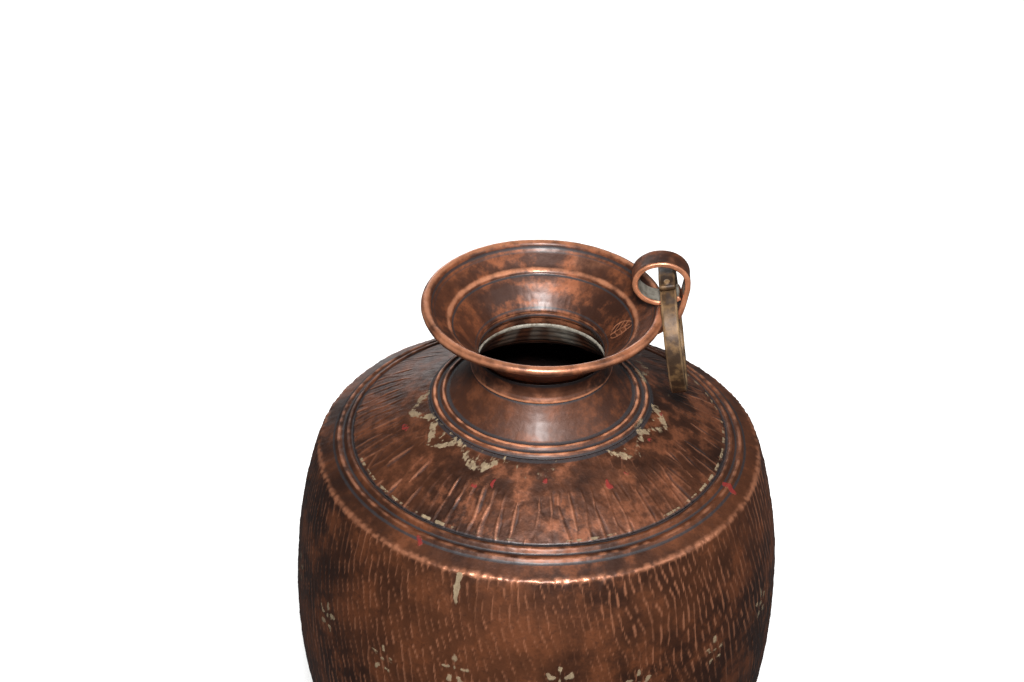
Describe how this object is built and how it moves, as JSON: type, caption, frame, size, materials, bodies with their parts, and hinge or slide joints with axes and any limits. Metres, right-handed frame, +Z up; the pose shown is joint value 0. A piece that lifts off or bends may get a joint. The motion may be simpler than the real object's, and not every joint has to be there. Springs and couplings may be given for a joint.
{
  "type": "copper water pot",
  "caption": "Tall hammered copper water jar with a wide shoulder, narrow neck, flared funnel mouth and a brass carrying ring hung in a strap loop on the rim.",
  "frame": {"origin": "middle of the flat base", "axes": "+Z up through the mouth, +X towards the strap loop and ring"},
  "size_m": [0.3698, 0.3698, 0.5173],
  "materials": {
    "hammered_copper": "copper beaten all over with short upright strokes, brown patina, bright crests",
    "patinated_copper": "planished copper with a dark brown mottled patina",
    "worn_copper": "copper rubbed bright at its edges",
    "wire_iron": "plain drawn iron wire",
    "solder_tin": "dull grey tin solder",
    "old_brass": "worn brass bar with brown tarnish"
  },
  "bodies": {
    "pot": {"base_pan": "hammered_copper", "body_barrel": "hammered_copper", "shoulder_plate": "patinated_copper", "neck_cone": "patinated_copper", "collar_band": "worn_copper", "mouth_funnel": "patinated_copper", "rim_wire": "wire_iron", "loop_strap": "worn_copper", "strap_solder": "solder_tin"},
    "ring": {"hanging_ring": "old_brass", "ring_rivet": "old_brass"}
  },
  "joints": [
    {"name": "ring_swing", "type": "hinge", "parent": "pot", "child": "ring", "pos_m": [0.08625, 0, 0.49876], "axis": [-0.0698, -0.9976, 0], "range_deg": [0, 285]}
  ]
}
